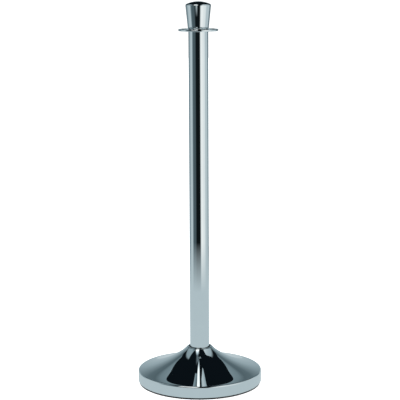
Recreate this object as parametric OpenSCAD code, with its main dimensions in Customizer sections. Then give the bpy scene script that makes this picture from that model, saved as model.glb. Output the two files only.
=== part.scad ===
// Post-and-rope stanchion: a flared, weighted base, a plain tube, a rope ring with
// four slots that turns on the post's head, and a crown knob that screws down over it.
// Millimetres, +Z up. The origin is on the floor, on the post's axis.

/* [Overall] */
// Height from the floor to the top of the knob
total_h = 980; // [900:5:1060]

/* [Post] */
// Outside diameter of the tube
tube_d = 50; // [49:0.2:51]
// Wall of the tube
tube_wall = 1.5; // [1:0.1:2]

/* [Base cover] */
// Diameter of the rim
base_d = 319; // [301:2:341]
// Height of the rim's straight band above the floor
band_top_z = 30.4; // [27:0.2:34]
// Radius of the bend between the band and the flare
rim_bend_r = 4; // [2:0.5:6]
// Slope of the flare where it leaves the rim, in degrees
flare_rim_slope = 10.5; // [8:0.5:13]
// Slope of the flare where it meets the neck bead, in degrees
flare_neck_slope = 48.5; // [45:0.5:54]
// How far the flare keeps its slope at the rim
flare_rim_pull = 39.5; // [36:0.5:46]
// How far the flare keeps its slope at the neck
flare_neck_pull = 37.5; // [32:0.5:42]
// Height of the neck bead's top
neck_top_z = 94.5; // [92:0.5:100]
// Thickness of the spun sheet
sheet_t = 1.2; // [0.8:0.1:1.6]

/* [Base inside] */
// Thickness of the cast weight's disc
weight_t = 9; // [8:1:14]
// Height of the rubber floor ring
floor_ring_h = 4; // [3.6:0.2:5]
// Stiffening ribs on the cast weight
rib_count = 6; // [4:2:8]

/* [Rope ring] */
// Outside diameter of the rope ring
ring_d = 100; // [94:1:116]
// Thickness of the rope ring
ring_t = 5; // [4:0.5:6]
// Width of a rope slot, measured along the radius
slot_w = 12; // [9:0.5:13]
// Half of the angle that a rope slot covers
slot_half_angle = 32; // [24:1:34]

/* [Knob] */
// Largest diameter of the knob, near its top
knob_top_d = 64; // [60:0.5:68]
// Diameter of the knob at the rope ring
knob_bottom_d = 52.4; // [52:0.1:55]
// Radius of the edge between the knob's side and its dome
knob_edge_r = 4.5; // [3:0.5:6]
// Radius of the knob's dome
knob_dome_r = 72; // [60:1:100]

/* [Hidden] */
$fn = 96;

chrome = [0.78, 0.82, 0.84];
cast_iron = [0.22, 0.23, 0.24];
plain_steel = [0.55, 0.57, 0.58];
black_rubber = [0.06, 0.06, 0.06];
nylon = [0.88, 0.87, 0.82];
black_nylon = [0.12, 0.12, 0.12];
brass = [0.78, 0.64, 0.34];

// How finely the outlines' arcs and curves are divided
arc_steps = 8;
curve_steps = 28;
slot_steps = 6;
corner_steps = 5;
// A cutter runs this far past the face that it cuts
through = 1;

// Base, from the floor up
base_r = base_d / 2;
flange_z = floor_ring_h;
flange_w = 15;
bottom_bend_r = sheet_t + 1.3;
bead_r = 5;
bead_end_angle = 108;
plate_inset = 8.4;
plate_r = base_r - plate_inset;
plate_t = 1.4;
plate_hole_r = 24;
ring_step = 2.5;
ring_gap = 0.6;
ring_edge = 0.5;
screw_circle_r = 118;
screw_count = 4;
screw_r = 2.5;
screw_head_r = 4.4;
screw_head_h = 1.7;
screw_head_edge = 0.6;
screw_len = 8;
screw_hole_depth = 8;
screw_hole_gap = 0.2;

// Cast weight: a disc and a hub that carries the post in a shallow socket
weight_gap = 0.4;
weight_inset = 6;
weight_edge = 2;
disc_top_z = flange_z + sheet_t + weight_t;
hub_r = 33;
hub_top_z = 66;
hub_foot_r = 44;
socket_depth = 6;
socket_gap = 0.2;
seat_z = hub_top_z - socket_depth;
rib_t = 8;
rib_reach = base_r - 52;
rib_drop = 14;
rib_root = 2;
rib_end_h = 3;
recess_r = 20;
recess_top_z = 22;
bolt_hole_r = 6.6;

// Bolt, washers and pins that hold the post
bolt_r = 6;
bolt_head_across = 18;
bolt_head_h = 7.5;
bolt_len = 62;
flat_washer_r = 12;
flat_washer_t = 2.5;
spring_washer_r = 9.6;
spring_washer_hole_r = 6.2;
spring_washer_t = 3;
spring_split_w = 2;
washer_hole_r = 6.5;
pin_r = 2.5;
pin_circle_r = 16;
pin_len = 20;
plug_len = 30;

// Post
tube_r = tube_d / 2;
tube_bore_r = tube_r - tube_wall;
neck_gap = 3;
bead_inner_r = tube_r + neck_gap;
grommet_h = 2;

// Head stack: glide, rope ring, captive glide, knob
knob_h = 68;
knob_gap = 0.5;
knob_bottom_z = total_h - knob_h;
ring_top_z = knob_bottom_z - knob_gap;
ring_bottom_z = ring_top_z - ring_t;
lower_glide_t = 1;
tube_top_z = ring_bottom_z - lower_glide_t;
top_plug_len = 25;
boss_r = 12;
boss_gap = 0.06;
glide_bore_r = 12.4;
glide_r = 24.2;
boss_rise = 0.8;
boss_top_z = knob_bottom_z + boss_rise;
stud_r = 4.93;
stud_bore_gap = 0.02;
thread_gap = 0.07;
stud_rise = 16.5;
stud_depth = 20;
stud_top_z = knob_bottom_z + stud_rise;
stud_bottom_z = tube_top_z - stud_depth;
stud_tip = 1;

// Rope ring
ring_r = ring_d / 2;
ring_edge_r = 1.6;
slot_rim = 7.5;
slot_mid_r = ring_r - slot_rim - slot_w / 2;
slot_corner_r = 3;
slot_count = 4;

// Knob: a spun shell on a moulded core with a threaded insert
knob_hem_r = sheet_t + 0.3;
hem_inner_r = 23;
captive_neck_r = 22.6;
captive_lip_r = 24.4;
captive_lip_t = 1;
captive_gap = 0.15;
captive_room = 0.4;
shell_fit = 0.1;
core_bottom_z = knob_bottom_z + sheet_t + captive_lip_t + captive_room;
core_top_edge = 2;
insert_r = 8.5;
insert_rise = 22;
insert_top_z = knob_bottom_z + insert_rise;
insert_neck_r = 11.8;
stud_room = 3;
cavity_r = 6;

// ---- Outline helpers -------------------------------------------------------------
// A path is a list of [point, outward normal], so a sheet's inner side follows from its outer one.

function polar(a) = [cos(a), sin(a)];

function arc_points(c, r, from, to, steps) =
    [for (i = [0:steps]) c + r * polar(from + (to - from) * i / steps)];

function arc_path(c, r, from, to, steps) =
    [for (i = [0:steps]) let (a = from + (to - from) * i / steps) [c + r * polar(a), polar(a)]];

// A cubic Bezier curve through the control points q, and its direction
function curve(q, s) =
    pow(1 - s, 3) * q[0] + 3 * pow(1 - s, 2) * s * q[1]
    + 3 * (1 - s) * s * s * q[2] + pow(s, 3) * q[3];

function curve_direction(q, s) =
    pow(1 - s, 2) * (q[1] - q[0]) + 2 * (1 - s) * s * (q[2] - q[1]) + s * s * (q[3] - q[2]);

function curve_path(q, steps) =
    [for (i = [1:steps - 1])
        let (s = i / steps, d = curve_direction(q, s)) [curve(q, s), [d.y, -d.x] / norm(d)]];

function tail(list) = [for (i = [1:len(list) - 1]) list[i]];

function sheet_outline(path, t) = concat(
    [for (p = path) p[0]],
    [for (i = [len(path) - 1:-1:0]) path[i][0] - t * path[i][1]]
);

// ---- Base cover ------------------------------------------------------------------
// The flare runs as one curve from the bend at the rim to the bead round the neck.

bend_end_angle = 90 - flare_rim_slope;
bead_start_angle = 90 - flare_neck_slope;
bead_centre = [bead_inner_r - bead_r * cos(bead_end_angle), neck_top_z - bead_r];
bend_centre = [base_r - rim_bend_r, band_top_z];
flare_start = bend_centre + rim_bend_r * polar(bend_end_angle);
flare_end = bead_centre + bead_r * polar(bead_start_angle);
flare = [
    flare_start,
    flare_start + flare_rim_pull * [-cos(flare_rim_slope), sin(flare_rim_slope)],
    flare_end - flare_neck_pull * [-cos(flare_neck_slope), sin(flare_neck_slope)],
    flare_end
];

function cover_path() = concat(
    [[[base_r - flange_w, flange_z], [0, -1]]],
    arc_path([base_r - bottom_bend_r, flange_z + bottom_bend_r], bottom_bend_r, -90, 0, arc_steps),
    arc_path(bend_centre, rim_bend_r, 0, bend_end_angle, arc_steps),
    curve_path(flare, curve_steps),
    arc_path(bead_centre, bead_r, bead_start_angle, bead_end_angle, arc_steps)
);

module base_cover() {
    color(chrome)
        rotate_extrude()
            polygon(sheet_outline(cover_path(), sheet_t));
}

// A rib leans from the hub's top edge down to the disc
module rib() {
    rotate([90, 0, 0])
        linear_extrude(rib_t, center = true)
            polygon([
                [hub_r - rib_root, disc_top_z - rib_root],
                [rib_reach, disc_top_z - rib_root],
                [rib_reach, disc_top_z + rib_end_h],
                [hub_r + rib_root, hub_top_z - rib_drop],
                [hub_r - rib_root, hub_top_z - rib_drop]
            ]);
}

module base_weight() {
    pad_r = base_r - flange_w - weight_gap;
    disc_r = base_r - sheet_t - weight_inset;
    flange_top_z = flange_z + sheet_t;
    color(cast_iron)
        difference() {
            union() {
                rotate_extrude()
                    polygon([
                        [bolt_hole_r, flange_z],
                        [pad_r, flange_z],
                        [pad_r, flange_top_z],
                        [disc_r, flange_top_z],
                        [disc_r, disc_top_z - weight_edge],
                        [disc_r - weight_edge, disc_top_z],
                        [hub_foot_r, disc_top_z],
                        [hub_r, disc_top_z + hub_foot_r - hub_r],
                        [hub_r, hub_top_z],
                        [tube_r + socket_gap, hub_top_z],
                        [tube_r + socket_gap, seat_z],
                        [bolt_hole_r, seat_z]
                    ]);
                for (i = [0:rib_count - 1])
                    rotate([0, 0, (i + 0.5) * 360 / rib_count])
                        rib();
            }
            translate([0, 0, flange_z - through])
                cylinder(r = recess_r, h = recess_top_z - flange_z + through);
            at_pins()
                translate([0, 0, seat_z - pin_len / 2])
                    cylinder(r = pin_r, h = pin_len);
            at_screws()
                translate([0, 0, flange_z - through])
                    cylinder(r = screw_r, h = screw_hole_depth + through);
        }
}

// ---- Underside -------------------------------------------------------------------

module at_screws() {
    for (i = [0:screw_count - 1])
        rotate([0, 0, 45 + i * 360 / screw_count])
            translate([screw_circle_r, 0, 0])
                children();
}

module bottom_plate() {
    color(plain_steel)
        translate([0, 0, flange_z - plate_t])
            difference() {
                cylinder(r = plate_r, h = plate_t);
                translate([0, 0, -through])
                    cylinder(r = plate_hole_r, h = plate_t + 2 * through);
                at_screws()
                    translate([0, 0, -through])
                        cylinder(r = screw_r + screw_hole_gap, h = plate_t + 2 * through);
            }
}

module plate_screws() {
    head_top_z = flange_z - plate_t;
    head_bottom_z = head_top_z - screw_head_h;
    color(plain_steel)
        at_screws()
            rotate_extrude()
                polygon([
                    [0, head_bottom_z],
                    [screw_head_r - screw_head_edge, head_bottom_z],
                    [screw_head_r, head_bottom_z + screw_head_edge],
                    [screw_head_r, head_top_z],
                    [screw_r, head_top_z],
                    [screw_r, head_top_z + screw_len],
                    [0, head_top_z + screw_len]
                ]);
}

module floor_ring() {
    outer_r = base_r - ring_step;
    inner_r = plate_r + ring_gap;
    color(black_rubber)
        rotate_extrude()
            polygon([
                [inner_r, ring_edge],
                [inner_r + ring_edge, 0],
                [outer_r - ring_edge, 0],
                [outer_r, ring_edge],
                [outer_r, flange_z],
                [inner_r, flange_z]
            ]);
}

// ---- Post ------------------------------------------------------------------------

// Fills the gap round the tube and bears on the lower half of the bead's cut edge
module neck_grommet() {
    cut_low = bead_centre + (bead_r - sheet_t) * polar(bead_end_angle);
    cut_middle = bead_centre + (bead_r - sheet_t / 2) * polar(bead_end_angle);
    color(black_rubber)
        rotate_extrude()
            polygon([
                [tube_r, cut_low.y - grommet_h],
                [cut_low.x, cut_low.y - grommet_h],
                cut_low,
                cut_middle,
                [tube_r, cut_middle.y]
            ]);
}

module post_tube() {
    color(chrome)
        translate([0, 0, seat_z])
            difference() {
                cylinder(r = tube_r, h = tube_top_z - seat_z);
                translate([0, 0, -through])
                    cylinder(r = tube_bore_r, h = tube_top_z - seat_z + 2 * through);
            }
}

module at_pins() {
    for (side = [-1, 1])
        translate([0, side * pin_circle_r, 0])
            children();
}

module bottom_plug() {
    color(plain_steel)
        translate([0, 0, seat_z])
            difference() {
                cylinder(r = tube_bore_r, h = plug_len);
                translate([0, 0, -through])
                    cylinder(r = bolt_r, h = plug_len + 2 * through);
                at_pins()
                    translate([0, 0, -through])
                        cylinder(r = pin_r, h = pin_len / 2 + through);
            }
}

module locating_pins() {
    color(plain_steel)
        at_pins()
            translate([0, 0, seat_z - pin_len / 2])
                cylinder(r = pin_r, h = pin_len);
}

washer_top_z = recess_top_z;
spring_top_z = washer_top_z - flat_washer_t;
bolt_seat_z = spring_top_z - spring_washer_t;

module flat_washer() {
    color(plain_steel)
        translate([0, 0, spring_top_z])
            difference() {
                cylinder(r = flat_washer_r, h = flat_washer_t);
                translate([0, 0, -through])
                    cylinder(r = washer_hole_r, h = flat_washer_t + 2 * through);
            }
}

module spring_washer() {
    color(plain_steel)
        translate([0, 0, bolt_seat_z])
            difference() {
                cylinder(r = spring_washer_r, h = spring_washer_t);
                translate([0, 0, -through])
                    cylinder(r = spring_washer_hole_r, h = spring_washer_t + 2 * through);
                translate([0, -spring_split_w / 2, -through])
                    cube([spring_washer_r + through, spring_split_w, spring_washer_t + 2 * through]);
            }
}

module post_bolt() {
    color(plain_steel) {
        translate([0, 0, bolt_seat_z - bolt_head_h])
            cylinder(r = bolt_head_across / sqrt(3), h = bolt_head_h, $fn = 6);
        translate([0, 0, bolt_seat_z - through])
            cylinder(r = bolt_r, h = bolt_len + through);
    }
}

// ---- Head ------------------------------------------------------------------------

module top_plug() {
    color(plain_steel)
        difference() {
            union() {
                translate([0, 0, tube_top_z - top_plug_len])
                    cylinder(r = tube_bore_r, h = top_plug_len);
                translate([0, 0, tube_top_z - through])
                    cylinder(r = boss_r, h = boss_top_z - tube_top_z + through);
            }
            translate([0, 0, tube_top_z - top_plug_len - through])
                cylinder(r = stud_r + stud_bore_gap, h = boss_top_z - tube_top_z + top_plug_len + 2 * through);
        }
}

module head_stud() {
    color(plain_steel)
        rotate_extrude()
            polygon([
                [0, stud_bottom_z],
                [stud_r - stud_tip, stud_bottom_z],
                [stud_r, stud_bottom_z + stud_tip],
                [stud_r, stud_top_z - stud_tip],
                [stud_r - stud_tip, stud_top_z],
                [0, stud_top_z]
            ]);
}

module lower_glide() {
    color(nylon)
        translate([0, 0, tube_top_z])
            difference() {
                cylinder(r = glide_r, h = lower_glide_t);
                translate([0, 0, -through])
                    cylinder(r = glide_bore_r, h = lower_glide_t + 2 * through);
            }
}

// Half of a slot bent along the ring: the outer arc, the two rounded corners at the slot's end
// and the inner arc. The other half is its mirror image.
function half_slot() =
    let (
        inner = slot_mid_r - slot_w / 2,
        outer = slot_mid_r + slot_w / 2,
        inner_corner_r = inner + slot_corner_r,
        outer_corner_r = outer - slot_corner_r,
        inner_end = slot_half_angle - asin(slot_corner_r / inner_corner_r),
        outer_end = slot_half_angle - asin(slot_corner_r / outer_corner_r),
        wall = slot_half_angle + 90
    )
    concat(
        arc_points([0, 0], outer, 0, outer_end, slot_steps),
        tail(arc_points(outer_corner_r * polar(outer_end), slot_corner_r, outer_end, wall, corner_steps)),
        arc_points(inner_corner_r * polar(inner_end), slot_corner_r, wall, inner_end + 180, corner_steps),
        tail(arc_points([0, 0], inner, inner_end, 0, slot_steps))
    );

function slot_outline() =
    let (half = half_slot(), last = len(half) - 1)
    concat(half, [for (i = [last - 1:-1:1]) [half[i].x, -half[i].y]]);

module rope_ring() {
    edge_c = ring_r - ring_edge_r;
    low_c = ring_bottom_z + ring_edge_r;
    high_c = ring_top_z - ring_edge_r;
    color(chrome)
        difference() {
            rotate_extrude()
                polygon(concat(
                    [[boss_r + boss_gap, ring_bottom_z]],
                    arc_points([edge_c, low_c], ring_edge_r, -90, 0, arc_steps),
                    arc_points([edge_c, high_c], ring_edge_r, 0, 90, arc_steps),
                    [[boss_r + boss_gap, ring_top_z]]
                ));
            for (i = [0:slot_count - 1])
                rotate([0, 0, i * 360 / slot_count])
                    translate([0, 0, ring_bottom_z - through])
                        linear_extrude(ring_t + 2 * through)
                            polygon(slot_outline());
        }
}

// Thrust washer, held inside the knob's hem by its wider lip
module upper_glide() {
    lip_bottom_z = knob_bottom_z + sheet_t + captive_gap;
    color(nylon)
        rotate_extrude()
            polygon([
                [glide_bore_r, ring_top_z + captive_gap],
                [captive_neck_r, ring_top_z + captive_gap],
                [captive_neck_r, lip_bottom_z],
                [captive_lip_r, lip_bottom_z],
                [captive_lip_r, lip_bottom_z + captive_lip_t],
                [glide_bore_r, lip_bottom_z + captive_lip_t]
            ]);
}

// ---- Knob ------------------------------------------------------------------------
// The side is the straight line that touches both the hem's bend and the top edge's arc.

dome_centre = [0, total_h - knob_dome_r];
edge_centre_r = knob_top_d / 2 - knob_edge_r;
edge_centre = [
    edge_centre_r,
    dome_centre.y + sqrt(pow(knob_dome_r - knob_edge_r, 2) - pow(edge_centre_r, 2))
];
hem_centre = [knob_bottom_d / 2 - knob_hem_r, knob_bottom_z + knob_hem_r];
side_run = edge_centre - hem_centre;
side_lean = atan2(side_run.x, side_run.y) + asin((knob_edge_r - knob_hem_r) / norm(side_run));
dome_edge_angle = atan2(edge_centre.y - dome_centre.y, edge_centre_r);

function dome_path(steps) =
    [for (i = [1:steps])
        let (a = dome_edge_angle + (90 - dome_edge_angle) * i / steps)
        [dome_centre + knob_dome_r * polar(a), polar(a)]];

function knob_path() = concat(
    [[[hem_inner_r, knob_bottom_z], [0, -1]]],
    arc_path(hem_centre, knob_hem_r, -90, -side_lean, arc_steps),
    arc_path(edge_centre, knob_edge_r, -side_lean, dome_edge_angle, arc_steps),
    dome_path(arc_steps)
);

module knob_shell() {
    color(chrome)
        rotate_extrude()
            polygon(sheet_outline(knob_path(), sheet_t));
}

module knob_core() {
    inset = sheet_t + shell_fit;
    side_normal = polar(-side_lean);
    low = hem_centre + (knob_hem_r - inset) * side_normal;
    high = edge_centre + (knob_edge_r - inset) * side_normal;
    rise = (core_bottom_z - low.y) / (high.y - low.y);
    foot = low + rise * (high - low);
    top_z = high.y + core_top_edge;
    cavity_top_z = insert_top_z + stud_room;
    color(black_nylon)
        rotate_extrude()
            polygon([
                [insert_r, core_bottom_z],
                foot,
                high,
                [high.x - core_top_edge, top_z],
                [0, top_z],
                [0, cavity_top_z],
                [cavity_r, cavity_top_z],
                [cavity_r, insert_top_z],
                [insert_r, insert_top_z]
            ]);
}

module knob_insert() {
    color(brass)
        difference() {
            union() {
                translate([0, 0, core_bottom_z - through])
                    cylinder(r = insert_r, h = insert_top_z - core_bottom_z + through);
                translate([0, 0, boss_top_z])
                    cylinder(r = insert_neck_r, h = core_bottom_z - boss_top_z);
            }
            translate([0, 0, boss_top_z - through])
                cylinder(r = stud_r + thread_gap, h = insert_top_z - boss_top_z + 2 * through);
        }
}

base_cover();
base_weight();
bottom_plate();
plate_screws();
floor_ring();
neck_grommet();
post_tube();
bottom_plug();
post_bolt();
spring_washer();
flat_washer();
locating_pins();
top_plug();
head_stud();
lower_glide();
rope_ring();
upper_glide();
knob_shell();
knob_core();
knob_insert();
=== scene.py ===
"""The looks of a rope stanchion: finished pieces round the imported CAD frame, a pale studio and a camera.

Everything is in metres, +Z up, with the origin on the floor at the post's axis. Outlines are lists of
(radius, height) in millimetres, and Solid.turn() spins them round the post's axis.
"""
import math

import bpy
from mathutils import Matrix, Vector
from mathutils.geometry import tessellate_polygon

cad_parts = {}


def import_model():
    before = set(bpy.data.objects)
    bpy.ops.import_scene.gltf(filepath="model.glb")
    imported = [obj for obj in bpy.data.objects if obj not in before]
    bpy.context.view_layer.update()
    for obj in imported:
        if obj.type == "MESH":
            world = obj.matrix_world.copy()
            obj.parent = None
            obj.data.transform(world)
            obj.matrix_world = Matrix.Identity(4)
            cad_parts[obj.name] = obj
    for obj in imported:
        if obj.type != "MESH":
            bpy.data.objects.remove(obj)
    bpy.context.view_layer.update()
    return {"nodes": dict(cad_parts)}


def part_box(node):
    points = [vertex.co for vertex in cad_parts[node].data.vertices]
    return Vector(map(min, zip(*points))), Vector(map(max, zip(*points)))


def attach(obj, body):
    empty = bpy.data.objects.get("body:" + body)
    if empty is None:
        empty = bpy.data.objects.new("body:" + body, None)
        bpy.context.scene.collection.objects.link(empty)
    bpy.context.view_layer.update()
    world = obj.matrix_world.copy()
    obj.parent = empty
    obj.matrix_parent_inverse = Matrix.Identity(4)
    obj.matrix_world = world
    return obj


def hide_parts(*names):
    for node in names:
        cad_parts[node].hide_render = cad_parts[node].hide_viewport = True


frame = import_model()

MM = 0.001

# Lengths below this, in millimetres, count as nothing.
TINY = 1e-4

# How finely round shapes are divided. The last two are degrees along an arc, the rest are counts.
SEGMENTS = 256
SMALL_SEGMENTS = 96
BOLT_SEGMENTS = 72
THREAD_SEGMENTS = 48
HOLE_SEGMENTS = 32
FLARE_STEPS = 96
EDGE_STEPS = 4
FINE_STEP = 6
CORNER_STEP = 15


# ---- Sizes, in millimetres -----------------------------------------------------------
# Outer sizes come from the frame. Bends, slopes, bores and edges are named here.

def node_sizes(node):
    """A CAD node's outer radius, bottom and top."""
    low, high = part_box(node)
    return high.x / MM, low.z / MM, high.z / MM


SHEET_T = 1.2
EDGE_R = 0.3

base_r, flange_z, neck_top_z = node_sizes("base_cover")
BAND_TOP_Z = 30.4
RIM_BEND_R = 4
BOTTOM_BEND_R = 2.5
FLANGE_W = 15
BEAD_R = 5
BEAD_END = 108
FLARE_RIM_SLOPE = 10.5
FLARE_NECK_SLOPE = 48.5
FLARE_RIM_PULL = 39.5
FLARE_NECK_PULL = 37.5

floor_ring_r, floor_z, floor_ring_top_z = node_sizes("floor_ring")
plate_r, plate_bottom_z, plate_top_z = node_sizes("bottom_plate")
FLOOR_RING_EDGE_R = 0.8
RING_GAP = 0.6
PLATE_HOLE_R = 24
PLATE_EDGE_R = 0.15
SCREW_CIRCLE_R = 118
SCREW_HOLE_R = 2.7

screw_bottom_z, screw_top_z = node_sizes("plate_screws")[1:]
SCREW_HEAD_R = 4.4
SCREW_HEAD_EDGE_R = 1.1
SCREW_R = 2.5
SCREW_PITCH = 1.6
SCREW_TIP = 0.8
CROSS_DEPTH = 1.1
CROSS_OUTER = (0.5, 2.3)  # half the width and half the length of its arms
CROSS_INNER = (0.35, 1.3)

bolt_bottom_z, bolt_top_z = node_sizes("post_bolt")[1:]
spring_washer_r, spring_bottom_z, spring_top_z = node_sizes("spring_washer")
flat_washer_r, flat_bottom_z, flat_top_z = node_sizes("flat_washer")
BOLT_ACROSS = 18
BOLT_R = 6
BOLT_PITCH = 1.75
BOLT_TIP = 1
BOLT_CHAMFER_SHARE = 0.95
BOLT_CHAMFER_SLOPE = 30
WASHER_EDGE_R = 0.25
SPRING_HOLE_R = 6.2
SPRING_SPLIT_W = 2
FLAT_HOLE_R = 6.5

tube_r, tube_bottom_z, tube_top_z = node_sizes("post_tube")
grommet_r, grommet_bottom_z, grommet_top_z = node_sizes("neck_grommet")
TUBE_WALL = 1.5
NECK_GAP = 3
GROMMET_SAG = 0.5

plug_r, plug_bottom_z, boss_top_z = node_sizes("top_plug")
stud_bottom_z, stud_top_z = node_sizes("head_stud")[1:]
lower_glide_r, lower_glide_bottom_z, lower_glide_top_z = node_sizes("lower_glide")
lip_r, upper_glide_bottom_z, lip_top_z = node_sizes("upper_glide")
BOSS_R = 12
BOSS_CHAMFER = 0.5
PLUG_BORE_R = 4.95
STUD_R = 4.93
STUD_PITCH = 1.5
STUD_TIP = 1
GLIDE_BORE_R = 12.4
GLIDE_NECK_R = 22.6
GLIDE_EDGE_R = 0.3
LIP_T = 1

ring_r, ring_bottom_z, ring_top_z = node_sizes("rope_ring")
RING_EDGE_R = 1.6
RING_BORE_R = 12.06
SLOT_IN_R = 30.5
SLOT_OUT_R = 42.5
SLOT_HALF_ANGLE = 32
SLOT_CORNER_R = 3
SLOT_EDGE_R = 0.5

knob_r, knob_bottom_z, knob_top_z = node_sizes("knob_shell")
core_bottom_z, core_top_z = node_sizes("knob_core")[1:]
insert_neck_r, insert_bottom_z, insert_top_z = node_sizes("knob_insert")
KNOB_BOTTOM_R = 26.2
KNOB_HEM_R = 1.5
KNOB_HEM_INNER_R = 23
KNOB_EDGE_R = 4.5
KNOB_DOME_R = 72
CORE_INSET = 1.3
CORE_TOP_EDGE = 2
INSERT_R = 8.5
INSERT_BORE_R = 5
INSERT_EDGE_R = 0.4
STUD_ROOM = 3
CAVITY_R = 6

# A thread's flanks over one pitch: how far along it, and how deep
THREAD_ROWS = ((0.04, 1), (0.44, 0), (0.56, 0), (0.96, 1))
THREAD_DEPTH = 0.58


# ---- Outlines ------------------------------------------------------------------------
# A run is a smooth stretch of (point, outward normal). An outline is a closed list of runs, taken
# anticlockwise with the radius to the right, so the outward normal is on the right of the way along.

def polar(degrees):
    return Vector((math.cos(math.radians(degrees)), math.sin(math.radians(degrees))))


def right_of(way):
    return Vector((way.y, -way.x)).normalized()


def straight(start, end):
    normal = right_of(end - start)
    return [(start, normal), (end, normal)]


def arc(centre, radius, start, end):
    steps = max(3, math.ceil(abs(end - start) / FINE_STEP))
    angles = [start + (end - start) * i / steps for i in range(steps + 1)]
    return [(centre + radius * polar(a), polar(a)) for a in angles]


def curve(q, steps):
    """A cubic Bezier curve through four control points."""
    run = []
    for i in range(steps + 1):
        s = i / steps
        t = 1 - s
        point = t ** 3 * q[0] + 3 * t * t * s * q[1] + 3 * t * s * s * q[2] + s ** 3 * q[3]
        way = t * t * (q[1] - q[0]) + 2 * t * s * (q[2] - q[1]) + s * s * (q[3] - q[2])
        run.append((point, right_of(way)))
    return run


def sheet(run, thickness):
    """The closed outline of a sheet, from the run along its outer side."""
    inner = [(point - thickness * normal, -normal) for point, normal in reversed(run)]
    return [run, straight(run[-1][0], inner[0][0]), inner, straight(inner[-1][0], run[0][0])]


def rounded(*corners):
    """The closed outline of a polygon. Each corner is (radius, height, fillet)."""
    runs = []
    run = []
    for i, (radius, height, fillet) in enumerate(corners):
        here = Vector((radius, height))
        way_in = (here - Vector(corners[i - 1][:2])).normalized()
        way_out = (Vector(corners[(i + 1) % len(corners)][:2]) - here).normalized()
        normal = right_of(way_in)
        if fillet == 0:
            runs.append(run + [(here, normal)])
            run = [(here, right_of(way_out))]
            continue
        turn = math.atan2(way_in.cross(way_out), way_in.dot(way_out))
        side = math.copysign(fillet, turn)
        centre = here - way_in * fillet * math.tan(abs(turn) / 2) - side * normal
        steps = max(2, math.ceil(abs(math.degrees(turn)) / CORNER_STEP))
        for k in range(steps + 1):
            turned_normal = Matrix.Rotation(turn * k / steps, 2) @ normal
            run.append((centre + side * turned_normal, turned_normal))
    if runs:
        runs[0] = run + runs[0]
        return runs
    return [run + run[:1]]


def tube_section(inner, outer, bottom, top, fillet):
    """The outline of a ring with a rectangular section."""
    return rounded(
        (inner, bottom, fillet),
        (outer, bottom, fillet),
        (outer, top, fillet),
        (inner, top, fillet),
    )


# Loops lie flat, as lists of (point, normal out of the material): anticlockwise for an outside,
# clockwise for a hole.

def circle(radius, count, hole=False, centre=(0, 0)):
    way = -1 if hole else 1
    spokes = [polar(way * 360 * i / count) for i in range(count)]
    return [(Vector(centre) + radius * spoke, way * spoke) for spoke in spokes]


def bent_slot(centre_angle):
    """A slot bent along the ring."""
    near = SLOT_IN_R + SLOT_CORNER_R
    far = SLOT_OUT_R - SLOT_CORNER_R
    near_end = SLOT_HALF_ANGLE - math.degrees(math.asin(SLOT_CORNER_R / near))
    far_end = SLOT_HALF_ANGLE - math.degrees(math.asin(SLOT_CORNER_R / far))
    wall_angle = SLOT_HALF_ANGLE + 90
    origin = Vector((0, 0))
    inner = [(point, -normal) for point, normal in arc(origin, SLOT_IN_R, 0, near_end)]
    half = arc(origin, SLOT_OUT_R, 0, far_end)
    half += arc(far * polar(far_end), SLOT_CORNER_R, far_end, wall_angle)[1:]
    half += arc(near * polar(near_end), SLOT_CORNER_R, wall_angle, near_end + 180)
    half += inner[::-1][1:]
    other = [(Vector((p.x, -p.y)), Vector((n.x, -n.y))) for p, n in half[-2:0:-1]]
    spin = Matrix.Rotation(math.radians(centre_angle), 2)
    return [(spin @ point, spin @ -normal) for point, normal in reversed(half + other)]


def split_ring(inner, outer, split):
    """The outline of a ring with a gap at +X."""
    outer_start = math.degrees(math.asin(split / 2 / outer))
    inner_start = math.degrees(math.asin(split / 2 / inner))
    origin = Vector((0, 0))
    outside = arc(origin, outer, outer_start, 360 - outer_start)
    inside = [(point, -normal) for point, normal in arc(origin, inner, 360 - inner_start, inner_start)]
    return outside + inside


# ---- Mesh builder --------------------------------------------------------------------

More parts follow.
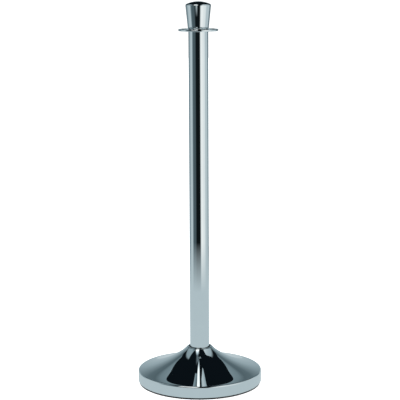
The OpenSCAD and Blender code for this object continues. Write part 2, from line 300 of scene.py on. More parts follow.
class Solid:
    """Gathers a piece's faces. Points are in millimetres, and every face corner has its own normal."""

    def __init__(self):
        self.points = []
        self.faces = []
        self.normals = []

    def ring(self, points):
        first = len(self.points)
        self.points.extend(points)
        return list(range(first, first + len(points)))

    def face(self, indices, normals=None):
        """Adds a face, without repeated points. With no normals given, it is flat."""
        keep = [k for k in range(len(indices)) if indices[k] != indices[k - 1]]
        if len(keep) < 3:
            return
        if normals is None:
            a, b, c = (Vector(self.points[indices[k]]) for k in keep[:3])
            normals = [(b - a).cross(c - a).normalized()] * len(indices)
        self.faces.append([indices[k] for k in keep])
        self.normals.extend(normals[k] for k in keep)

    def band(self, low, high, low_normals=None, high_normals=None):
        """Joins two closed rings that have the same number of points."""
        for i in range(len(low)):
            j = (i + 1) % len(low)
            normals = None
            if low_normals:
                normals = [low_normals[i], low_normals[j], high_normals[j], high_normals[i]]
            self.face([low[i], low[j], high[j], high[i]], normals)

    def cap(self, rings, way):
        """Closes a flat ring and leaves the holes in it. way is 1 for a top, -1 for a bottom."""
        flat = [i for ring in rings for i in ring]
        for triangle in tessellate_polygon([[Vector(self.points[i]) for i in ring] for ring in rings]):
            corners = [flat[i] for i in triangle]
            a, b, c = (Vector(self.points[i]) for i in corners)
            if (b - a).cross(c - a).z * way < 0:
                corners.reverse()
            self.face(corners, [(0, 0, way)] * 3)

    def turn(self, outline, segments=SEGMENTS):
        """Spins an outline round the Z axis, with the outline's own normals."""
        around = [polar(360 * i / segments) for i in range(segments)]
        rings = {}

        def ring(point):
            key = (round(point.x, 4), round(point.y, 4))
            if key not in rings:
                if point.x < TINY:
                    rings[key] = self.ring([(0, 0, point.y)]) * segments
                else:
                    rings[key] = self.ring([(point.x * a.x, point.x * a.y, point.y) for a in around])
            return rings[key]

        def spun(normal):
            return [(normal.x * a.x, normal.x * a.y, normal.y) for a in around]

        for run in outline:
            for (p, p_normal), (q, q_normal) in zip(run, run[1:]):
                if (q - p).length > TINY and max(p.x, q.x) > TINY:
                    self.band(ring(p), ring(q), spun(p_normal), spun(q_normal))

    def plate(self, loops, bottom, top):
        """A flat plate with rounded edges. Each loop is (edge radius, points and normals)."""
        floors = []
        roofs = []
        for edge, loop in loops:
            quarter = [90 * i / EDGE_STEPS for i in range(EDGE_STEPS + 1)]
            levels = [(bottom + edge, a - 90) for a in quarter] + [(top - edge, a) for a in quarter]
            rings = []
            normals = []
            for height, angle in levels:
                lean = polar(angle)
                places = [point - edge * (1 - lean.x) * normal for point, normal in loop]
                rings.append(self.ring([(p.x, p.y, height + edge * lean.y) for p in places]))
                normals.append([(lean.x * n.x, lean.x * n.y, lean.y) for _, n in loop])
            for k in range(len(levels) - 1):
                self.band(rings[k], rings[k + 1], normals[k], normals[k + 1])
            floors.append(rings[0])
            roofs.append(rings[-1])
        self.cap(floors, -1)
        self.cap(roofs, 1)

    def thread(self, radius, pitch, bottom, top, tip, segments=THREAD_SEGMENTS):
        """A right-handed outside thread with chamfered ends. Returns its bottom and top rings."""
        depth = THREAD_DEPTH * pitch
        around = [polar(360 * i / segments) for i in range(segments)]
        end_r = radius - tip
        low_end = self.ring([(end_r * a.x, end_r * a.y, bottom) for a in around])
        high_end = self.ring([(end_r * a.x, end_r * a.y, top) for a in around])
        count = len(THREAD_ROWS)
        turns = math.ceil((top - bottom) / pitch) + 2
        rows = []
        depths = []
        heights = []
        for k in range(count * (turns + 1) + 1):
            share, factor = THREAD_ROWS[k % count]
            start = bottom + pitch * (k // count - 1 + share)
            row = []
            for i, a in enumerate(around):
                height = start + pitch * i / segments
                if height <= bottom:
                    row.append(low_end[i])
                elif height >= top:
                    row.append(high_end[i])
                else:
                    limit = end_r + min(height - bottom, top - height)
                    r = min(radius - depth * factor, limit)
                    row += self.ring([(r * a.x, r * a.y, height)])
            rows.append(row)
            depths.append(depth * factor)
            heights.append(start)
        for k in range(count * turns):
            lean = (depths[k + 1] - depths[k]) / (heights[k + 1] - heights[k])
            for i in range(segments):
                j = (i + 1) % segments
                up = count if j == 0 else 0
                corners = [rows[k][i], rows[k + up][j], rows[k + 1 + up][j], rows[k + 1][i]]
                ways = [Vector((around[s].x, around[s].y, lean)).normalized() for s in (i, j, j, i)]
                self.face(corners, ways)
        return low_end, high_end

    def add(self, other, offset):
        """Adds a copy of another solid, moved by an offset."""
        first = len(self.points)
        self.points.extend(Vector(point) + Vector(offset) for point in other.points)
        self.faces.extend([first + i for i in face] for face in other.faces)
        self.normals.extend(other.normals)

    def piece(self, name):
        mesh = bpy.data.meshes.new(name)
        mesh.from_pydata([Vector(point) * MM for point in self.points], [], self.faces, shade_flat=False)
        mesh.normals_split_custom_set(self.normals)
        piece = bpy.data.objects.new(name, mesh)
        bpy.context.scene.collection.objects.link(piece)
        return piece


def turned(outline, segments=SEGMENTS):
    solid = Solid()
    solid.turn(outline, segments)
    return solid


# ---- Base ----------------------------------------------------------------------------

def base_cover():
    """The spun cover: a turned-in flange, the rim's band, the flare and the bead round the neck."""
    bend_end = 90 - FLARE_RIM_SLOPE
    bead_start = 90 - FLARE_NECK_SLOPE
    corner = Vector((base_r - BOTTOM_BEND_R, flange_z + BOTTOM_BEND_R))
    bend = Vector((base_r - RIM_BEND_R, BAND_TOP_Z))
    bead = Vector((tube_r + NECK_GAP - BEAD_R * polar(BEAD_END).x, neck_top_z - BEAD_R))
    rim_way = Vector((-polar(FLARE_RIM_SLOPE).x, polar(FLARE_RIM_SLOPE).y))
    neck_way = Vector((-polar(FLARE_NECK_SLOPE).x, polar(FLARE_NECK_SLOPE).y))
    start = bend + RIM_BEND_R * polar(bend_end)
    end = bead + BEAD_R * polar(bead_start)
    flare = [start, start + FLARE_RIM_PULL * rim_way, end - FLARE_NECK_PULL * neck_way, end]
    run = [(Vector((base_r - FLANGE_W, flange_z)), Vector((0, -1)))]
    run += arc(corner, BOTTOM_BEND_R, -90, 0)
    run += arc(bend, RIM_BEND_R, 0, bend_end)
    run += curve(flare, FLARE_STEPS)[1:-1]
    run += arc(bead, BEAD_R, bead_start, BEAD_END)
    return turned(sheet(run, SHEET_T))


def floor_ring():
    inner = plate_r + RING_GAP
    return turned(rounded(
        (inner, floor_z, FLOOR_RING_EDGE_R),
        (floor_ring_r, floor_z, FLOOR_RING_EDGE_R),
        (floor_ring_r, floor_ring_top_z, EDGE_R),
        (inner, floor_ring_top_z, EDGE_R),
    ))


def neck_grommet():
    """A rubber lip that fills the gap between the bead and the tube, hollowed on top."""
    middle = (tube_r + grommet_r) / 2
    low_z = grommet_top_z - GROMMET_SAG
    return turned(rounded(
        (tube_r, grommet_bottom_z, EDGE_R),
        (grommet_r, grommet_bottom_z, EDGE_R),
        (grommet_r, low_z, EDGE_R),
        (middle, low_z, 2 * GROMMET_SAG),
        (tube_r, grommet_top_z, EDGE_R),
    ))


def bottom_plate():
    loops = [
        (PLATE_EDGE_R, circle(plate_r, SEGMENTS)),
        (PLATE_EDGE_R, circle(PLATE_HOLE_R, SMALL_SEGMENTS, hole=True)),
    ]
    for place in screw_places():
        loops.append((PLATE_EDGE_R, circle(SCREW_HOLE_R, HOLE_SEGMENTS, hole=True, centre=place)))
    solid = Solid()
    solid.plate(loops, plate_bottom_z, plate_top_z)
    return solid


def screw_places():
    return [SCREW_CIRCLE_R * polar(angle) for angle in (45, 135, 225, 315)]


def cross(half_width, half_length):
    """A cross-shaped hole, clockwise."""
    corner = Vector((half_width, half_width))
    near = Vector((half_width, half_length))
    far = Vector((-half_width, half_length))
    arms = []
    for k in range(4):
        spin = Matrix.Rotation(-math.pi / 2 * k, 2)
        arms += [spin @ far, spin @ near, spin @ corner]
    return arms


def plate_screw():
    """A pan-head screw with a cross recess, head down."""
    head_top = plate_bottom_z
    segments = THREAD_SEGMENTS
    solid = Solid()
    edge = Vector((SCREW_HEAD_R - SCREW_HEAD_EDGE_R, screw_bottom_z + SCREW_HEAD_EDGE_R))
    side = arc(edge, SCREW_HEAD_R - edge.x, -90, 0)
    solid.turn([
        side + [(Vector((SCREW_HEAD_R, head_top)), Vector((1, 0)))],
        straight(Vector((SCREW_HEAD_R, head_top)), Vector((SCREW_R, head_top))),
    ], segments)
    spokes = [polar(360 * i / segments) for i in range(segments)]
    rim = solid.ring([(edge.x * a.x, edge.x * a.y, screw_bottom_z) for a in spokes])
    outer = solid.ring([(p.x, p.y, screw_bottom_z) for p in cross(*CROSS_OUTER)])
    inner = solid.ring([(p.x, p.y, screw_bottom_z + CROSS_DEPTH) for p in cross(*CROSS_INNER)])
    solid.cap([rim, outer], -1)
    solid.band(outer, inner)
    solid.cap([inner], -1)
    high_end = solid.thread(SCREW_R, SCREW_PITCH, head_top, screw_top_z, SCREW_TIP)[1]
    solid.cap([high_end], 1)
    return solid


def plate_screws():
    screw = plate_screw()
    solid = Solid()
    for place in screw_places():
        solid.add(screw, (place.x, place.y, 0))
    return solid


# ---- Bolt and washers ----------------------------------------------------------------

def post_bolt():
    """A hex bolt, head down: a chamfered head and a threaded shank."""
    solid = Solid()
    segments = BOLT_SEGMENTS
    spokes = [polar(360 * i / segments) for i in range(segments)]
    flat_r = BOLT_ACROSS / 2
    chamfer_r = BOLT_CHAMFER_SHARE * flat_r
    rise = math.tan(math.radians(BOLT_CHAMFER_SLOPE))
    hex_r = [flat_r / math.cos(math.radians(360 * i / segments % 60 - 30)) for i in range(segments)]
    low = [(chamfer_r * a.x, chamfer_r * a.y, bolt_bottom_z) for a in spokes]
    edge = [(r * a.x, r * a.y, bolt_bottom_z + (r - chamfer_r) * rise) for r, a in zip(hex_r, spokes)]
    top = [(r * a.x, r * a.y, spring_bottom_z) for r, a in zip(hex_r, spokes)]
    low, edge, top = solid.ring(low), solid.ring(edge), solid.ring(top)
    cone = [Vector((a.x, a.y, -1 / rise)).normalized() for a in spokes]
    solid.cap([low], -1)
    solid.band(low, edge, cone, cone)
    for i in range(segments):
        j = (i + 1) % segments
        flat = polar(60 * (i * 6 // segments) + 30).to_3d()
        solid.face([edge[i], edge[j], top[j], top[i]], [flat] * 4)
    low_end, high_end = solid.thread(BOLT_R, BOLT_PITCH, spring_bottom_z, bolt_top_z, BOLT_TIP)
    solid.cap([top, low_end], 1)
    solid.cap([high_end], 1)
    return solid


def spring_washer():
    solid = Solid()
    loop = split_ring(SPRING_HOLE_R, spring_washer_r, SPRING_SPLIT_W)
    solid.plate([(WASHER_EDGE_R, loop)], spring_bottom_z, spring_top_z)
    return solid


def flat_washer():
    outline = tube_section(FLAT_HOLE_R, flat_washer_r, flat_bottom_z, flat_top_z, WASHER_EDGE_R)
    return turned(outline, SMALL_SEGMENTS)


# ---- Post ----------------------------------------------------------------------------

def post_tube():
    return turned(tube_section(tube_r - TUBE_WALL, tube_r, tube_bottom_z, tube_top_z, EDGE_R))


def top_plug():
    """The threaded plug in the tube's top and the boss that the ring turns on."""
    return turned(rounded(
        (PLUG_BORE_R, plug_bottom_z, BOSS_CHAMFER),
        (plug_r, plug_bottom_z, BOSS_CHAMFER),
        (plug_r, tube_top_z, EDGE_R),
        (BOSS_R, tube_top_z, EDGE_R),
        (BOSS_R, boss_top_z, BOSS_CHAMFER),
        (PLUG_BORE_R, boss_top_z, EDGE_R),
    ), SMALL_SEGMENTS)


def head_stud():
    solid = Solid()
    low_end, high_end = solid.thread(STUD_R, STUD_PITCH, stud_bottom_z, stud_top_z, STUD_TIP)
    solid.cap([low_end], -1)
    solid.cap([high_end], 1)
    return solid


def lower_glide():
    outline = tube_section(GLIDE_BORE_R, lower_glide_r, lower_glide_bottom_z, lower_glide_top_z, GLIDE_EDGE_R)
    return turned(outline)


# ---- Head ----------------------------------------------------------------------------

def rope_ring():
    loops = [
        (RING_EDGE_R, circle(ring_r, SEGMENTS)),
        (EDGE_R, circle(RING_BORE_R, SMALL_SEGMENTS, hole=True)),
    ]
    loops += [(SLOT_EDGE_R, bent_slot(angle)) for angle in (0, 90, 180, 270)]
    solid = Solid()
    solid.plate(loops, ring_bottom_z, ring_top_z)
    return solid


def upper_glide():
    """The thrust washer, with a wider lip that the knob's hem holds."""
    return turned(rounded(
        (GLIDE_BORE_R, upper_glide_bottom_z, GLIDE_EDGE_R),
        (GLIDE_NECK_R, upper_glide_bottom_z, GLIDE_EDGE_R),
        (GLIDE_NECK_R, lip_top_z - LIP_T, GLIDE_EDGE_R),
        (lip_r, lip_top_z - LIP_T, GLIDE_EDGE_R),
        (lip_r, lip_top_z, GLIDE_EDGE_R),
        (GLIDE_BORE_R, lip_top_z, GLIDE_EDGE_R),
    ))


def knob_bends():
    """The centres of the hem's and the top edge's bends, and the side's lean from upright."""
    dome_z = knob_top_z - KNOB_DOME_R
    edge_r = knob_r - KNOB_EDGE_R
    edge = Vector((edge_r, dome_z + math.sqrt((KNOB_DOME_R - KNOB_EDGE_R) ** 2 - edge_r ** 2)))
    hem = Vector((KNOB_BOTTOM_R - KNOB_HEM_R, knob_bottom_z + KNOB_HEM_R))
    side = edge - hem
    lean = math.degrees(math.atan2(side.x, side.y) + math.asin((KNOB_EDGE_R - KNOB_HEM_R) / side.length))
    return hem, edge, lean


def knob_shell():
    hem, edge, lean = knob_bends()
    dome = Vector((0, knob_top_z - KNOB_DOME_R))
    dome_start = math.degrees(math.atan2(edge.y - dome.y, edge.x))
    run = [(Vector((KNOB_HEM_INNER_R, knob_bottom_z)), Vector((0, -1)))]
    run += arc(hem, KNOB_HEM_R, -90, -lean)
    run += arc(edge, KNOB_EDGE_R, -lean, dome_start)
    run += arc(dome, KNOB_DOME_R, dome_start, 90)[1:]
    return turned(sheet(run, SHEET_T))


def knob_core():
    """The moulded core, which follows the shell's inside."""
    hem, edge, lean = knob_bends()
    low = hem + (KNOB_HEM_R - CORE_INSET) * polar(-lean)
    high = edge + (KNOB_EDGE_R - CORE_INSET) * polar(-lean)
    foot = low + (core_bottom_z - low.y) / (high.y - low.y) * (high - low)
    cavity_top_z = insert_top_z + STUD_ROOM
    return turned(rounded(
        (INSERT_R, core_bottom_z, EDGE_R),
        (foot.x, core_bottom_z, EDGE_R),
        (high.x, high.y, EDGE_R),
        (high.x - CORE_TOP_EDGE, core_top_z, EDGE_R),
        (0, core_top_z, 0),
        (0, cavity_top_z, 0),
        (CAVITY_R, cavity_top_z, EDGE_R),
        (CAVITY_R, insert_top_z, EDGE_R),
        (INSERT_R, insert_top_z, EDGE_R),
    ), SMALL_SEGMENTS)


def knob_insert():
    return turned(rounded(
        (INSERT_BORE_R, insert_bottom_z, INSERT_EDGE_R),
        (insert_neck_r, insert_bottom_z, INSERT_EDGE_R),
        (insert_neck_r, core_bottom_z, EDGE_R),
        (INSERT_R, core_bottom_z, EDGE_R),
        (INSERT_R, insert_top_z, EDGE_R),
        (INSERT_BORE_R, insert_top_z, EDGE_R),
    ), SMALL_SEGMENTS)


# ---- Materials -----------------------------------------------------------------------

def color_sockets(sockets):
    """A Mix node names its sockets the same for each kind of value. These are the colour ones."""
    return {socket.name: socket for socket in sockets if socket.type == "RGBA"}


class Look:
    """A new material with a Principled shader, and short calls that add nodes to it."""

    def __init__(self, name, **values):
        self.material = bpy.data.materials.new(name)
        self.material.use_nodes = True
        self.nodes = self.material.node_tree.nodes
        self.links = self.material.node_tree.links
        self.shader = self.nodes["Principled BSDF"]
        for key, value in values.items():
            self.shader.inputs[key.replace("_", " ")].default_value = value

    def add(self, kind, inputs=(), **settings):
        node = self.nodes.new("ShaderNode" + kind)
        for key, value in settings.items():
            setattr(node, key, value)
        for key, value in dict(inputs).items():
            if isinstance(value, bpy.types.NodeSocket):
                self.links.new(value, node.inputs[key])
            else:
                node.inputs[key].default_value = value
        return node

    def drive(self, name, socket):
        self.links.new(socket, self.shader.inputs[name])

    def math(self, operation, *values):
        inputs = dict(enumerate(values))
        return self.add("Math", inputs, operation=operation).outputs[0]

    def place(self):
        """Object coordinates, in metres."""
        return self.add("TexCoord").outputs["Object"]

    def axial(self):
        """A place that is the same all the way round the Z axis: the radius and the height."""
        where = self.add("SeparateXYZ", {"Vector": self.place()}).outputs
        y_squared = self.math("MULTIPLY", where["Y"], where["Y"])
        across = self.math("SQRT", self.math("MULTIPLY_ADD", where["X"], where["X"], y_squared))
        return self.add("CombineXYZ", {"X": across, "Z": where["Z"]}).outputs["Vector"]

    def noise(self, place, scale, detail=3, roughness=0.5):
        inputs = {"Vector": place, "Scale": scale, "Detail": detail, "Roughness": roughness}
        return self.add("TexNoise", inputs).outputs["Fac"]

    def spread(self, value, low, high, to_low=0, to_high=1):
        """Maps a value from one range to another, held at its ends."""
        inputs = {"Value": value, 1: low, 2: high, 3: to_low, 4: to_high}
        return self.add("MapRange", inputs, clamp=True).outputs["Result"]

    def blend(self, share, first, second):
        """A colour between two, by a share from 0 to 1."""
        node = self.add("Mix", {"Factor": share}, data_type="RGBA")
        inputs = color_sockets(node.inputs)
        inputs["A"].default_value = (*first, 1)
        inputs["B"].default_value = (*second, 1)
        return color_sockets(node.outputs)["Result"]

    def bump(self, height, distance, under=None):
        inputs = {"Height": height, "Distance": distance, "Strength": 1}
        if under:
            inputs["Normal"] = under
        return self.add("Bump", inputs).outputs["Normal"]


def polished_chrome(name):
    """Mirror plate over spun steel: faint lines from the polishing wheel, a slow ripple and smudges."""
    look = Look(name, Metallic=1)
    smudge = look.noise(look.place(), 28, detail=5, roughness=0.6)
    lines = look.noise(look.axial(), 2600, detail=2)
    worn = look.spread(smudge, 0.5, 0.8, 0.012, 0.05)
    look.drive("Roughness", look.math("ADD", worn, look.spread(lines, 0.55, 0.8, 0, 0.02)))
    film = look.spread(smudge, 0.35, 0.7)
    look.drive("Base Color", look.blend(film, (0.81, 0.85, 0.86), (0.79, 0.83, 0.84)))
    ripple = look.bump(look.noise(look.place(), 40, detail=1), 0.000003)
    look.drive("Normal", look.bump(lines, 0.0000001, ripple))
    return look.material


def cast_iron(name):
    """Grey sand casting: a coarse grain, dark pits and a little rust."""
    look = Look(name, Metallic=0.6)
    grain = look.noise(look.place(), 900, detail=6, roughness=0.65)
    patches = look.noise(look.place(), 45, detail=4)
    dark = look.spread(grain, 0.3, 0.7)
    look.drive("Base Color", look.blend(dark, (0.09, 0.09, 0.095), (0.26, 0.25, 0.24)))
    look.drive("Roughness", look.spread(patches, 0.3, 0.7, 0.55, 0.85))
    look.drive("Normal", look.bump(grain, 0.0004, look.bump(patches, 0.0003)))
    return look.material


def zinc_steel(name):
    """Dull zinc plate: cloudy spangle and fine scratches."""
    look = Look(name, Metallic=1)
    cloud = look.noise(look.place(), 160, detail=5, roughness=0.6)
    long_way = look.add("Mapping", {"Vector": look.place(), "Scale": (1, 14, 1)}).outputs[0]
    scratch = look.noise(long_way, 420)
    bright = look.spread(cloud, 0.3, 0.7)
    look.drive("Base Color", look.blend(bright, (0.50, 0.52, 0.54), (0.70, 0.71, 0.70)))
    look.drive("Roughness", look.spread(cloud, 0.3, 0.7, 0.28, 0.45))
    look.drive("Normal", look.bump(scratch, 0.00001, look.bump(cloud, 0.00002)))
    return look.material


def black_rubber(name):
    """Matt rubber with dust in its grain."""
    look = Look(name, Specular_IOR_Level=0.35)
    grain = look.noise(look.place(), 1500, detail=4)
    dust = look.noise(look.place(), 90, detail=5)
    dusty = look.spread(dust, 0.5, 0.8)
    look.drive("Base Color", look.blend(dusty, (0.012, 0.012, 0.013), (0.05, 0.05, 0.048)))
    look.drive("Roughness", look.spread(dust, 0.3, 0.7, 0.6, 0.8))
    look.drive("Normal", look.bump(grain, 0.00006))
    return look.material


def moulded(name, pale, dark, roughness, translucent):
    """Moulded plastic: flow marks, a fine spark-eroded grain and rubbed patches."""
    look = Look(name, Subsurface_Weight=translucent, Subsurface_Scale=0.002)
    flow = look.noise(look.place(), 70, detail=3)
    grain = look.noise(look.place(), 2200, detail=2)
    look.drive("Base Color", look.blend(look.spread(flow, 0.3, 0.7), pale, dark))
    look.drive("Roughness", look.spread(flow, 0.3, 0.7, roughness, roughness + 0.12))
    look.drive("Normal", look.bump(grain, 0.00002))
    return look.material


def natural_nylon(name):
    return moulded(name, (0.86, 0.84, 0.78), (0.80, 0.77, 0.69), 0.38, 0.3)


def black_nylon(name):
    return moulded(name, (0.035, 0.035, 0.037), (0.02, 0.02, 0.02), 0.42, 0)


def brass(name):
    """Turned brass: tool marks round the axis and a slight tarnish."""
    look = Look(name, Metallic=1)
    tarnish = look.noise(look.place(), 220, detail=4)
    marks = look.noise(look.axial(), 3800, detail=1)
    dulled = look.spread(tarnish, 0.35, 0.75)
    look.drive("Base Color", look.blend(dulled, (0.80, 0.62, 0.30), (0.55, 0.40, 0.18)))
    look.drive("Roughness", look.spread(tarnish, 0.3, 0.7, 0.2, 0.36))
    look.drive("Normal", look.bump(marks, 0.00001))
    return look.material


# ---- Pieces --------------------------------------------------------------------------

LOOKS = {
    make.__name__: make(make.__name__)
    for make in (polished_chrome, cast_iron, zinc_steel, black_rubber, natural_nylon, black_nylon, brass)
}
PIECES = [
    (base_cover, "post", "polished_chrome"),
    (floor_ring, "post", "black_rubber"),
    (neck_grommet, "post", "black_rubber"),
    (bottom_plate, "post", "zinc_steel"),
    (plate_screws, "post", "zinc_steel"),
    (post_bolt, "post", "zinc_steel"),
    (spring_washer, "post", "zinc_steel"),
    (flat_washer, "post", "zinc_steel"),
    (post_tube, "post", "polished_chrome"),
    (top_plug, "post", "zinc_steel"),
    (head_stud, "post", "zinc_steel"),
    (lower_glide, "post", "natural_nylon"),
    (rope_ring, "ring", "polished_chrome"),
    (upper_glide, "washer", "natural_nylon"),
    (knob_shell, "knob", "polished_chrome"),
    (knob_core, "knob", "black_nylon"),
    (knob_insert, "knob", "brass"),
]
for make, body, slot in PIECES:
    piece = make().piece(make.__name__ + "_finished")
    piece.data.materials.append(LOOKS[slot])
    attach(piece, body)
    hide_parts(make.__name__)

# These stay as the CAD made them, with broken edges and a material.
KEPT_NODES = [
    ("base_weight", "cast_iron", 0.8),
    ("bottom_plug", "zinc_steel", 0.3),
    ("locating_pins", "zinc_steel", 0.3),
]
for node, slot, edge in KEPT_NODES:
    kept = frame["nodes"][node]
    kept.material_slots[0].material = LOOKS[slot]
    bevel = kept.modifiers.new("edges", "BEVEL")
    bevel.width = edge * MM
    bevel.segments = 2
    bevel.limit_method = "ANGLE"


# ---- Studio --------------------------------------------------------------------------
# The camera sees a white floor and a white room. Polished metal sees cards and walls round the
# object instead, as in a product studio: dark in front, white to the right, grey to the left.
# Lengths are in metres. Azimuth 0 is towards the camera, and 90 is to its right.

def cool_grey(level):
    """A studio grey: the darker it is, the bluer."""
    shade = min(level, 1)
    return (level * (0.65 + 0.33 * shade), level, level * (1.16 - 0.17 * shade), 1)


def glow_look(name):
    look = Look(name)
    look.nodes.remove(look.shader)
    look.material.cycles.emission_sampling = "NONE"
    return look


def finish_glow(look, color, cover):
    """Shows an emission colour where cover is 1, and nothing where it is 0."""
    glow = look.add("Emission", {"Color": color})
    clear = look.add("BsdfTransparent")
    mix = look.add("MixShader", {0: cover, 1: clear.outputs[0], 2: glow.outputs[0]})
    look.links.new(mix.outputs[0], look.nodes["Material Output"].inputs["Surface"])


def stage_piece(name, points, faces, material):
    """A surface of the studio. Its points are in metres."""
    mesh = bpy.data.meshes.new(name)
    mesh.from_pydata(points, [], faces)
    mesh.materials.append(material)
    piece = bpy.data.objects.new(name, mesh)
    bpy.context.scene.collection.objects.link(piece)
    return piece


def gloss_only(piece):
    piece.visible_camera = False
    piece.visible_diffuse = False
    piece.visible_transmission = False
    piece.visible_shadow = False


def ramp(look, value, stops):
    node = look.add("ValToRGB", {"Fac": value})
    elements = node.color_ramp.elements
    while len(elements) < len(stops):
        elements.new(0.5)
    for element, (position, level) in zip(elements, stops):
        element.position = position
        element.color = cool_grey(level)
    return node.outputs["Color"]


def curved_sheet(radius, bottom, top_at, first, last):
    """An upright sheet bent round the post, between two azimuths. top_at gives its top edge."""
    count = 96
    points = []
    for i in range(count + 1):
        azimuth = first + (last - first) * i / count
        across = radius * polar(azimuth - 90)
        points += [(across.x, across.y, bottom), (across.x, across.y, top_at(azimuth))]
    faces = [(2 * i, 2 * i + 2, 2 * i + 3, 2 * i + 1) for i in range(count)]
    return points, faces


def eased(stops, place):
    """The value at a place among stops of (place, value), with a smooth change between stops."""
    for (a, low), (b, high) in zip(stops, stops[1:]):
        if place <= b:
            share = (1 - math.cos(math.pi * (place - a) / (b - a))) / 2
            return low + (high - low) * share
    return stops[-1][1]


def wall(name, radius, bottom, top, soft, stops, edge=None):
    """A curved wall round the object, which fades out near its bottom and top.

    Stops are (azimuth, level). Where the top slopes, edge gives it as (azimuth, height).
    """
    first = stops[0][0]
    span = stops[-1][0] - first
    look = glow_look(name)
    where = look.add("SeparateXYZ", {"Vector": look.place()}).outputs
    angle = look.math("ARCTAN2", where["X"], look.math("MULTIPLY", where["Y"], -1))
    along = look.spread(angle, math.radians(first), math.radians(first + span))
    color = ramp(look, along, [((a - first) / span, level) for a, level in stops])
    low = look.spread(where["Z"], bottom, bottom + soft)
    high = look.spread(where["Z"], top - soft, top, 1, 0)
    finish_glow(look, color, look.math("MULTIPLY", low, high))
    edge = edge or [(first, top), (first + span, top)]
    points, faces = curved_sheet(radius, bottom, lambda azimuth: eased(edge, azimuth), first, first + span)
    gloss_only(stage_piece(name, points, faces, look.material))


# Each wall's name, radius, bottom, top, depth of the fade, stops and sloping edge
WALLS = [
    ("horizon", 2.4, -1.9, 1.5, 0.3, [
        (-180, 0.5), (-150, 0.45), (-136, 0.3), (-124, 0.28), (-112, 0.56), (-96, 0.6), (-81, 0.66),
        (-74, 0.3), (-66, 0.15), (-60, 0.11), (-40, 0.11), (-33, 0.05), (-28, 0.008), (15, 0.008),
        (24, 0.9), (31, 1.0), (42, 1.0), (50, 0.93), (72, 0.88), (84, 0.64), (94, 0.6), (110, 0.66),
        (121, 0.5), (130, 0.2), (140, 0.17), (155, 0.3), (180, 0.5)]),
    ("right_key", 2.3, 1.2, 6.3, 0.3, [
        (20, 0), (30, 0.3), (42, 0.76), (57, 0.7), (80, 0.6), (100, 0.52), (118, 0.45), (128, 0)],
        [(20, 3.2), (92, 6), (128, 3.4)]),
    ("left_side", 2.3, 1.2, 4.4, 0.3, [
        (-130, 0), (-124, 0.35), (-108, 0.38), (-92, 0.38), (-80, 0.26), (-62, 0.24), (-50, 0)]),
    ("ring_card", 1.65, 0.92, 1.12, 0.03, [(172, 0.5), (188, 0.5)]),
    ("knob_card", 0.2, 0.9, 1.0, 0.035, [(-30, 0), (-21, 0.3), (-13, 0.75), (-9, 0.6), (-7, 0)]),
]


def strip_light():
    """A long light under the ceiling, passing left of the post, faint and narrow behind it."""
    centre = (-0.35, 0, 2.95)
    azimuth = -18
    fade = 0.3
    back, start, bright, end = -0.9, 0.15, 1.1, 3.9
    start_w, end_w = 0.22, 1.8
    look = glow_look("strip_light")
    where = look.add("SeparateXYZ", {"Vector": look.place()}).outputs
    half_width = look.spread(where["Y"], start, end, start_w, end_w)
    offset = look.math("DIVIDE", look.math("ABSOLUTE", where["X"]), half_width)
    core = look.spread(where["Y"], start, bright, 0.1, 0.7)
    side = look.spread(offset, core, 1, 1, 0)
    level = look.spread(where["Y"], start, bright, 0.12, 1)
    near_end = look.spread(where["Y"], back, back + fade)
    far_end = look.spread(where["Y"], end - fade, end, 1, 0)
    ends = look.math("MULTIPLY", near_end, far_end)
    cover = look.math("MULTIPLY", look.math("MULTIPLY", side, ends), level)
    finish_glow(look, look.blend(level, (1.1, 1.5, 1.7), cool_grey(1.5)[:3]), cover)
    points = [(-start_w, back, 0), (start_w, back, 0), (end_w, end, 0), (-end_w, end, 0)]
    card = stage_piece("strip_light", points, [(0, 1, 2, 3)], look.material)
    turn = math.radians(180 + azimuth)
    card.matrix_world = Matrix.Translation(centre) @ Matrix.Rotation(turn, 4, "Z")
    gloss_only(card)


def sweep_top(azimuth):
    """The backdrop's top edge: a cloth hung from clips at (degrees from straight behind, height)."""
    clips = [(0, 1.52), (14, 1.46), (25, 1.62), (37, 1.35), (45, 1.3)]
    return eased(clips, abs(180 - azimuth))


def backdrop():
    """The sweep behind the object: light at the floor, darker higher up, with a paler top edge."""
    radius, top = 1.7, 1.62
    look = glow_look("backdrop")
    height = look.add("SeparateXYZ", {"Vector": look.place()}).outputs["Z"]
    levels = [(0, 0.5), (0.24, 0.42), (0.57, 0.16), (0.69, 0.14), (0.8, 0.24), (1, 0.3)]
    finish_glow(look, ramp(look, look.spread(height, 0, top), levels), 1)
    points, faces = curved_sheet(radius, 0, sweep_top, 140, 220)
    gloss_only(stage_piece("backdrop", points, faces, look.material))


def ground_card():
    """The floor as polished metal sees it: light near the object, gone further out."""
    reach = 1.9
    full_r, gone_r = 1.0, 1.8
    look = glow_look("ground_card")
    distance = look.add("VectorMath", {0: look.place()}, operation="LENGTH").outputs["Value"]
    finish_glow(look, cool_grey(0.61), look.spread(distance, full_r, gone_r, 1, 0))
    points = [(-reach, -reach, 0), (reach, -reach, 0), (reach, reach, 0), (-reach, reach, 0)]
    gloss_only(stage_piece("ground_card", points, [(0, 1, 2, 3)], look.material))


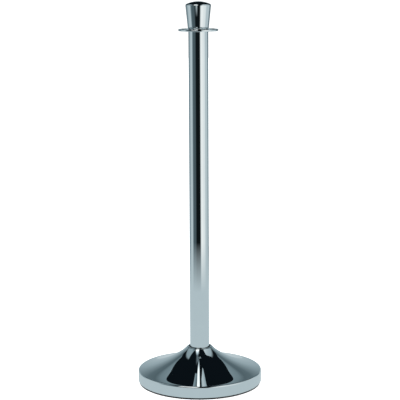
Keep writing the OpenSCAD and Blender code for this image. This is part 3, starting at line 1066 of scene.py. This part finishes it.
def floor():
    """The pale floor that the camera sees. It is clear from below, so that the underside shows."""
    half = 12
    white = (0.9, 0.9, 0.9, 1)
    look = Look(
        "pale_floor", Base_Color=white, Roughness=0.8, Specular_IOR_Level=0,
        Emission_Color=white, Emission_Strength=0.6)
    below = look.add("NewGeometry").outputs["Backfacing"]
    clear = look.add("BsdfTransparent").outputs[0]
    mix = look.add("MixShader", {0: below, 1: look.shader.outputs[0], 2: clear})
    look.links.new(mix.outputs[0], look.nodes["Material Output"].inputs["Surface"])
    points = [(-half, -half, 0), (half, -half, 0), (half, half, 0), (-half, half, 0)]
    stage_piece("floor", points, [(0, 1, 2, 3)], look.material).visible_glossy = False


def world():
    """White for the camera, soft light for matt surfaces and near black for polished ones."""
    sky = bpy.data.worlds.new("studio")
    bpy.context.scene.world = sky
    sky.use_nodes = True
    nodes = sky.node_tree.nodes
    links = sky.node_tree.links
    path = nodes.new("ShaderNodeLightPath")
    color = nodes.new("ShaderNodeMix")
    color.data_type = "RGBA"
    inputs = color_sockets(color.inputs)
    inputs["A"].default_value = (1.2, 1.2, 1.2, 1)
    inputs["B"].default_value = (0.0035, 0.006, 0.0085, 1)
    links.new(path.outputs["Is Glossy Ray"], color.inputs["Factor"])
    links.new(color_sockets(color.outputs)["Result"], nodes["Background"].inputs["Color"])


def soft_light(name, place, size, power):
    """A large lamp aimed at the base. Polished metal doesn't see it."""
    data = bpy.data.lights.new(name, "AREA")
    data.shape = "DISK"
    data.size = size
    data.energy = power
    lamp = bpy.data.objects.new(name, data)
    bpy.context.scene.collection.objects.link(lamp)
    lamp.location = place
    lamp.rotation_euler = (-Vector(place)).to_track_quat("-Z", "Y").to_euler()
    lamp.visible_glossy = False


for values in WALLS:
    wall(*values)
strip_light()
backdrop()
ground_card()
floor()
world()
soft_light("overhead", place=(-1.2, -0.8, 3.0), size=2.0, power=22)


# ---- Camera --------------------------------------------------------------------------

CAMERA_PLACE = (0, -3.392, 1.077)
CAMERA_DOWN = 9.825
CAMERA_ROLL = -0.255

data = bpy.data.cameras.new("camera")
data.lens = 121.65
data.shift_x = 0.0024
data.shift_y = -0.0109
camera = bpy.data.objects.new("camera", data)
bpy.context.scene.collection.objects.link(camera)
camera.matrix_world = (
    Matrix.Translation(CAMERA_PLACE)
    @ Matrix.Rotation(math.radians(90 - CAMERA_DOWN), 4, "X")
    @ Matrix.Rotation(math.radians(CAMERA_ROLL), 4, "Z")
)
bpy.context.scene.camera = camera
bpy.context.scene.view_settings.view_transform = "Standard"
